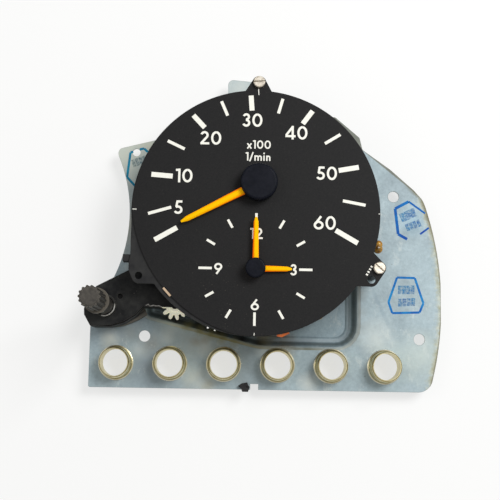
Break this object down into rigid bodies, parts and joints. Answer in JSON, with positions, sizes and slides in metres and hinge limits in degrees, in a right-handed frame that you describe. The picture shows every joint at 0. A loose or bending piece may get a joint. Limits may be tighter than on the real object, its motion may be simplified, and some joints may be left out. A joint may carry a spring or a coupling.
{
  "type": "car rev counter with inset clock",
  "caption": "Car rev counter with an inset clock, its setting gear train and press-in knob, on a stamped carrier plate with a row of warning light tubes.",
  "frame": {"origin": "centre of the round dial, on the back face of the pressed recess that the part rests on", "axes": "+Z out of the dial to the driver, +Y to 12 o'clock, +X to 3 o'clock"},
  "size_m": [0.1631, 0.147, 0.0708],
  "materials": {
    "zinc_plate": "zinc plated, dull and mottled",
    "chromate_tube": "yellow chromate",
    "black_plastic": "moulded, slightly grained",
    "dial_black": "matt black printed face",
    "nickel_screw": "nickel plated, a little worn",
    "lacquer": "dried amber sealing lacquer",
    "can_steel": "tinned",
    "natural_plastic": "natural acetal",
    "cream_plastic": "cream acetal",
    "copper": "enamelled copper wire",
    "brass": "turned and stamped",
    "magnet": "ferrite",
    "steel": "bright",
    "orange": "fluorescent orange",
    "cap_black": "black with a soft shine",
    "knob_plastic": "worn dark grey",
    "drive_case": "moulded",
    "board": "solder resist",
    "board_parts": "dipped and moulded"
  },
  "bodies": {
    "carrier": {"carrier_plate": "zinc_plate", "light_tubes": "chromate_tube", "edge_clip": "black_plastic", "lacquer_seal": "lacquer", "gauge_frame": "black_plastic", "frame_screws": "nickel_screw", "dial_plate": "dial_black", "dial_screws": "nickel_screw", "tacho_can": "can_steel", "tacho_bobbin_lower": "natural_plastic", "tacho_bobbin_upper": "natural_plastic", "tacho_coils": "copper", "tacho_bearing": "brass", "tacho_hairspring": "brass", "movement_plate": "brass", "movement_screws": "nickel_screw", "clock_drive_unit": "drive_case", "setting_arm": "black_plastic", "setting_arm_cover": "black_plastic", "arm_screws": "nickel_screw", "circuit_board": "board", "board_spacers": "natural_plastic", "control_chip": "black_plastic", "board_parts": "board_parts", "terminal_block": "black_plastic", "coil_pins": "brass", "drive_pins": "brass"},
    "pointer": {"tacho_magnet": "magnet", "tacho_spindle": "steel", "tacho_pointer": "orange", "tacho_cap": "cap_black"},
    "minute_train": {"centre_wheel": "brass", "cannon_pinion": "brass", "minute_hand": "orange", "hand_cap": "cap_black"},
    "hour_train": {"hour_wheel": "natural_plastic", "hour_hand": "orange"},
    "motion_wheel": {"minute_wheel": "natural_plastic"},
    "setting_wheel": {"setting_wheel": "natural_plastic"},
    "cream_gear": {"cream_gear": "cream_plastic"},
    "inner_idler": {"inner_idler": "black_plastic"},
    "outer_idler": {"outer_idler": "black_plastic"},
    "knob_pinion": {"knob_pinion": "black_plastic", "knob_spring": "steel"},
    "knob": {"knob_stem": "black_plastic", "setting_knob": "knob_plastic"},
    "drive_pinion": {"drive_pinion": "natural_plastic"}
  },
  "joints": [
    {"name": "pointer_turn", "type": "hinge", "parent": "carrier", "child": "pointer", "pos_m": [0.001, 0.0123, 0.0355], "axis": [0, 0, -1], "range_deg": [0, 245], "stiffness_Nm_per_rad": 0.0001, "springref_deg": -20.05},
    {"name": "minute_turn", "type": "hinge", "parent": "carrier", "child": "minute_train", "pos_m": [0, -0.0257, 0.0362], "axis": [0, 0, 1], "continuous": true},
    {"name": "hour_turn", "type": "hinge", "parent": "carrier", "child": "hour_train", "pos_m": [0, -0.0257, 0.035], "axis": [0, 0, 1], "continuous": true},
    {"name": "motion_turn", "type": "hinge", "parent": "carrier", "child": "motion_wheel", "pos_m": [-0.00763, -0.03047, 0.0243], "axis": [0, 0, 1], "continuous": true},
    {"name": "setting_turn", "type": "hinge", "parent": "carrier", "child": "setting_wheel", "pos_m": [-0.02038, -0.03614, 0.014], "axis": [0, 0, 1], "continuous": true},
    {"name": "cream_turn", "type": "hinge", "parent": "carrier", "child": "cream_gear", "pos_m": [-0.03567, -0.04141, 0.014], "axis": [0, 0, 1], "continuous": true},
    {"name": "inner_idler_turn", "type": "hinge", "parent": "carrier", "child": "inner_idler", "pos_m": [-0.04328, -0.03119, 0.014], "axis": [0, 0, 1], "continuous": true},
    {"name": "outer_idler_turn", "type": "hinge", "parent": "carrier", "child": "outer_idler", "pos_m": [-0.05697, -0.03653, 0.014], "axis": [0, 0, 1], "continuous": true},
    {"name": "knob_turn", "type": "hinge", "parent": "carrier", "child": "knob_pinion", "pos_m": [-0.06674, -0.04215, 0.014], "axis": [0, 0, 1], "continuous": true},
    {"name": "drive_turn", "type": "hinge", "parent": "carrier", "child": "drive_pinion", "pos_m": [0.0045, -0.03349, 0.02], "axis": [0, 0, 1], "continuous": true},
    {"name": "knob_push", "type": "slide", "parent": "knob_pinion", "child": "knob", "axis": [0, 0, -1], "range_m": [0, 0.0025], "stiffness_N_per_m": 400, "springref_m": -0.002, "deforming": ["knob_spring"]}
  ],
  "couplings": [
    {"joint": "hour_turn", "follows": "minute_turn", "ratio": 0.083333},
    {"joint": "motion_turn", "follows": "minute_turn", "ratio": -0.33333},
    {"joint": "setting_turn", "follows": "minute_turn", "ratio": 0.3125},
    {"joint": "cream_turn", "follows": "minute_turn", "ratio": -0.625},
    {"joint": "inner_idler_turn", "follows": "minute_turn", "ratio": 0.45833},
    {"joint": "outer_idler_turn", "follows": "minute_turn", "ratio": -0.45833},
    {"joint": "knob_turn", "follows": "minute_turn", "ratio": 0.85938},
    {"joint": "drive_turn", "follows": "minute_turn", "ratio": -3}
  ]
}
